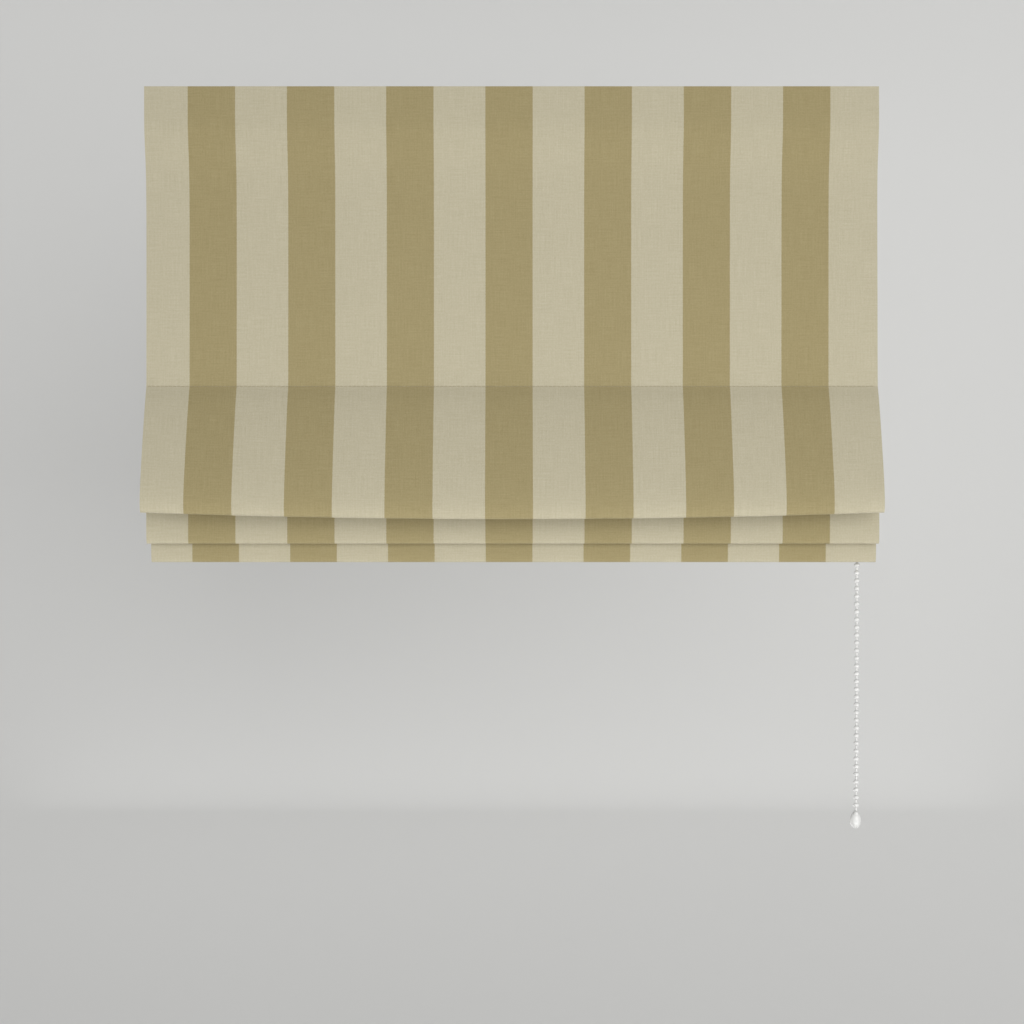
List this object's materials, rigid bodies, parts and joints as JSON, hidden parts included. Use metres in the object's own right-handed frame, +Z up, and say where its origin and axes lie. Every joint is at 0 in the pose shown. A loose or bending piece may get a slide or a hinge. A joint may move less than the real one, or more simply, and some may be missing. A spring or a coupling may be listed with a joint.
{
  "type": "roman blind",
  "caption": "Roman blind, half raised: striped cloth on rods that folds up under a headrail, lifted by cords on a shaft turned by a beaded side chain.",
  "frame": {"origin": "middle of the four ceiling screw holes, on the top face of the two mounting brackets", "axes": "+X along the headrail to the viewer's right, where the chain hangs; +Y back towards the window; +Z up"},
  "size_m": [0.56, 0.0581, 0.571],
  "materials": {
    "white_aluminium": "white powder coat on an aluminium extrusion, satin",
    "bare_aluminium": "mill finish",
    "zinc_steel": "zinc-plated spring steel",
    "spring_steel": "plain drawn steel",
    "white_plastic": "moulded white plastic, satin",
    "grey_plastic": "moulded acetal, satin",
    "tape": "white hook and loop tape",
    "striped_cloth": "woven linen-look cloth in wide beige and olive stripes",
    "lining_cloth": "cream cotton sateen lining",
    "cord": "braided white polyester cord",
    "bead_plastic": "white moulded beads",
    "ring_plastic": "clear white moulded rings",
    "clear_plastic": "translucent end caps",
    "glass_fibre_rod": "white glass-fibre rod"
  },
  "bodies": {
    "root": {"headrail": "white_aluminium", "mounting_bracket_left": "zinc_steel", "mounting_bracket_right": "zinc_steel", "end_cap": "white_plastic", "drive_housing": "white_plastic", "drive_cover": "white_plastic", "brake_hub": "spring_steel", "brake_spring": "spring_steel", "chain_guide": "white_plastic", "hook_tape": "tape", "loop_tape": "tape", "face_fabric": "striped_cloth", "lining": "lining_cloth", "spool_cradle_1": "white_plastic", "spool_cradle_2": "white_plastic", "spool_cradle_3": "white_plastic", "lift_cord_1": "cord", "lift_cord_2": "cord", "lift_cord_3": "cord", "chain_on_wheel": "bead_plastic", "chain_front": "bead_plastic", "chain_back": "bead_plastic", "chain_connector": "bead_plastic"},
    "upper_rod": {"rod_pocket_1": "lining_cloth", "rod_1": "glass_fibre_rod", "rod_caps_1": "clear_plastic", "cord_rings_1": "ring_plastic"},
    "middle_rod": {"rod_pocket_2": "lining_cloth", "rod_2": "glass_fibre_rod", "rod_caps_2": "clear_plastic", "cord_rings_2": "ring_plastic"},
    "lower_rod": {"rod_pocket_3": "lining_cloth", "rod_3": "glass_fibre_rod", "rod_caps_3": "clear_plastic", "cord_rings_3": "ring_plastic", "cord_adjusters": "ring_plastic", "hem_bar": "bare_aluminium", "hem_bar_caps": "clear_plastic"},
    "shaft": {"drive_shaft": "spring_steel", "shaft_bush": "grey_plastic", "chain_wheel": "grey_plastic", "cord_spool_1": "grey_plastic", "cord_spool_2": "grey_plastic", "cord_spool_3": "grey_plastic", "cord_winding_1": "cord", "cord_winding_2": "cord", "cord_winding_3": "cord"}
  },
  "joints": [
    {"name": "lift", "type": "slide", "parent": "root", "child": "upper_rod", "axis": [0, 0, 1], "range_m": [0, 0.185], "deforming": ["face_fabric", "lining"]},
    {"name": "upper_pleat", "type": "slide", "parent": "upper_rod", "child": "middle_rod", "axis": [0, 0, 1], "range_m": [-0.13, 0]},
    {"name": "lower_pleat", "type": "slide", "parent": "middle_rod", "child": "lower_rod", "axis": [0, 0, 1], "range_m": [-0.15, 0], "deforming": ["lift_cord_1", "lift_cord_2", "lift_cord_3"]},
    {"name": "shaft_turn", "type": "hinge", "parent": "root", "child": "shaft", "pos_m": [0, 0.005, -0.0185], "axis": [1, 0, 0], "range_deg": [-1530, 10], "deforming": ["chain_on_wheel"]}
  ],
  "couplings": [
    {"joint": "shaft_turn", "follows": "lift", "rad_per_m": -142.86}
  ]
}
